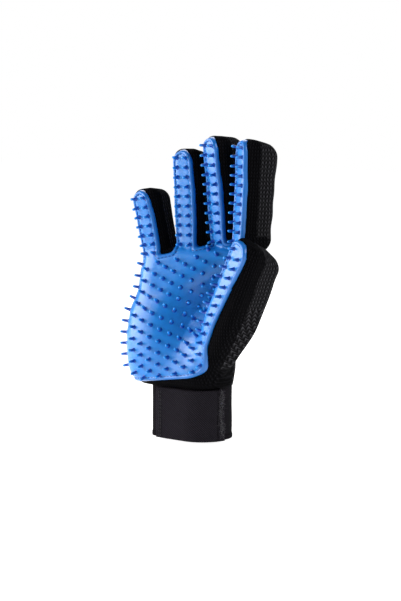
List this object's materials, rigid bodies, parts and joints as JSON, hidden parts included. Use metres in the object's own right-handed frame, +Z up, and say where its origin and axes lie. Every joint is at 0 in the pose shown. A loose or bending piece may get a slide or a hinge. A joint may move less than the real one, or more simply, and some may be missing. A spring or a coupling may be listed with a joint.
{
  "type": "pet grooming glove",
  "caption": "Five-finger grooming glove: moulded rubber palm covered in soft nubs on a knitted shell, fingers and thumb that bend, and a strapped wrist cuff.",
  "frame": {"origin": "centre of the wrist opening at the cuff's lower edge", "axes": "+Z up the hand towards the fingertips, the palm faces -Y, the thumb is at +X"},
  "size_m": [0.139, 0.0715, 0.2304],
  "materials": {
    "rubber_pad": "glossy moulded rubber, blue",
    "knit_back": "black ribbed knit mesh",
    "gusset_knit": "plain black knit, darker",
    "lining_cloth": "thin black backing cloth",
    "cuff_twill": "black woven elastic twill",
    "strap_twill": "black woven tape",
    "hook_loop": "hook and loop tape",
    "thread": "polyester sewing thread"
  },
  "bodies": {
    "hand": {"palm_back": "knit_back", "palm_side_strips": "gusset_knit", "palm_lining": "lining_cloth", "palm_pad": "rubber_pad", "palm_nubs": "rubber_pad", "wrist_band": "cuff_twill", "band_hem": "cuff_twill", "loop_patch": "hook_loop", "strap_anchor": "strap_twill", "anchor_stitches": "thread"},
    "strap": {"strap": "strap_twill", "hook_patch": "hook_loop", "strap_stitches": "thread"},
    "pinky_base": {"pinky_base_back": "knit_back", "pinky_base_sides": "gusset_knit", "pinky_base_pad": "rubber_pad", "pinky_knit_folds": "knit_back", "pinky_pad_bends": "rubber_pad"},
    "pinky_tip": {"pinky_tip_back": "knit_back", "pinky_tip_sides": "gusset_knit", "pinky_tip_pad": "rubber_pad"},
    "ring_base": {"ring_base_back": "knit_back", "ring_base_sides": "gusset_knit", "ring_base_pad": "rubber_pad", "ring_knit_folds": "knit_back", "ring_pad_bends": "rubber_pad"},
    "ring_tip": {"ring_tip_back": "knit_back", "ring_tip_sides": "gusset_knit", "ring_tip_pad": "rubber_pad"},
    "middle_base": {"middle_base_back": "knit_back", "middle_base_sides": "gusset_knit", "middle_base_pad": "rubber_pad", "middle_knit_folds": "knit_back", "middle_pad_bends": "rubber_pad"},
    "middle_tip": {"middle_tip_back": "knit_back", "middle_tip_sides": "gusset_knit", "middle_tip_pad": "rubber_pad"},
    "index_base": {"index_base_back": "knit_back", "index_base_sides": "gusset_knit", "index_base_pad": "rubber_pad", "index_knit_folds": "knit_back", "index_pad_bends": "rubber_pad"},
    "index_tip": {"index_tip_back": "knit_back", "index_tip_sides": "gusset_knit", "index_tip_pad": "rubber_pad"},
    "thumb_base": {"thumb_base_back": "knit_back", "thumb_base_sides": "gusset_knit", "thumb_base_pad": "rubber_pad", "thumb_knit_folds": "knit_back", "thumb_pad_bends": "rubber_pad"},
    "thumb_tip": {"thumb_tip_back": "knit_back", "thumb_tip_sides": "gusset_knit", "thumb_tip_pad": "rubber_pad"}
  },
  "joints": [
    {"name": "pinky_knuckle", "type": "hinge", "parent": "hand", "child": "pinky_base", "pos_m": [-0.03291, -0.00873, 0.14787], "axis": [0.9877, -0.1564, 0], "range_deg": [0, 60], "stiffness_Nm_per_rad": 0.06, "deforming": ["pinky_knit_folds", "pinky_pad_bends"]},
    {"name": "pinky_middle", "type": "hinge", "parent": "pinky_base", "child": "pinky_tip", "pos_m": [-0.03566, -0.01109, 0.16754], "axis": [0.9877, -0.1564, 0], "range_deg": [0, 60], "stiffness_Nm_per_rad": 0.04, "deforming": ["pinky_knit_folds", "pinky_pad_bends"]},
    {"name": "ring_knuckle", "type": "hinge", "parent": "hand", "child": "ring_base", "pos_m": [-0.00644, 0.00176, 0.15882], "axis": [0.9877, -0.1564, 0], "range_deg": [0, 60], "stiffness_Nm_per_rad": 0.06, "deforming": ["ring_knit_folds", "ring_pad_bends"]},
    {"name": "ring_middle", "type": "hinge", "parent": "ring_base", "child": "ring_tip", "pos_m": [-0.00731, 0.00118, 0.1878], "axis": [0.9877, -0.1564, 0], "range_deg": [0, 60], "stiffness_Nm_per_rad": 0.04, "deforming": ["ring_knit_folds", "ring_pad_bends"]},
    {"name": "middle_knuckle", "type": "hinge", "parent": "hand", "child": "middle_base", "pos_m": [0.01953, 0.0083, 0.16219], "axis": [0.9877, -0.1564, 0], "range_deg": [0, 60], "stiffness_Nm_per_rad": 0.06, "deforming": ["middle_knit_folds", "middle_pad_bends"]},
    {"name": "middle_middle", "type": "hinge", "parent": "middle_base", "child": "middle_tip", "pos_m": [0.01892, 0.00552, 0.19306], "axis": [0.9877, -0.1564, 0], "range_deg": [0, 60], "stiffness_Nm_per_rad": 0.04, "deforming": ["middle_knit_folds", "middle_pad_bends"]},
    {"name": "index_knuckle", "type": "hinge", "parent": "hand", "child": "index_base", "pos_m": [0.04501, 0.00357, 0.16335], "axis": [0.9877, -0.1564, 0], "range_deg": [0, 60], "stiffness_Nm_per_rad": 0.06, "deforming": ["index_knit_folds", "index_pad_bends"]},
    {"name": "index_middle", "type": "hinge", "parent": "index_base", "child": "index_tip", "pos_m": [0.04621, 0.00447, 0.19331], "axis": [0.9877, -0.1564, 0], "range_deg": [0, 60], "stiffness_Nm_per_rad": 0.04, "deforming": ["index_knit_folds", "index_pad_bends"]},
    {"name": "thumb_spread", "type": "hinge", "parent": "hand", "child": "thumb_base", "pos_m": [0.06565, -0.01773, 0.11365], "axis": [0.2402, 0.9682, -0.0705], "range_deg": [0, 35], "stiffness_Nm_per_rad": 0.06, "deforming": ["thumb_knit_folds", "thumb_pad_bends"]},
    {"name": "thumb_bend", "type": "hinge", "parent": "thumb_base", "child": "thumb_tip", "pos_m": [0.0654, -0.02871, 0.13231], "axis": [0.9613, -0.2756, 0], "range_deg": [0, 60], "stiffness_Nm_per_rad": 0.04, "deforming": ["thumb_knit_folds", "thumb_pad_bends"]},
    {"name": "strap_peel", "type": "hinge", "parent": "hand", "child": "strap", "pos_m": [0.03217, -0.0105, 0.022], "axis": [0, 0, 1], "range_deg": [0, 110]}
  ]
}
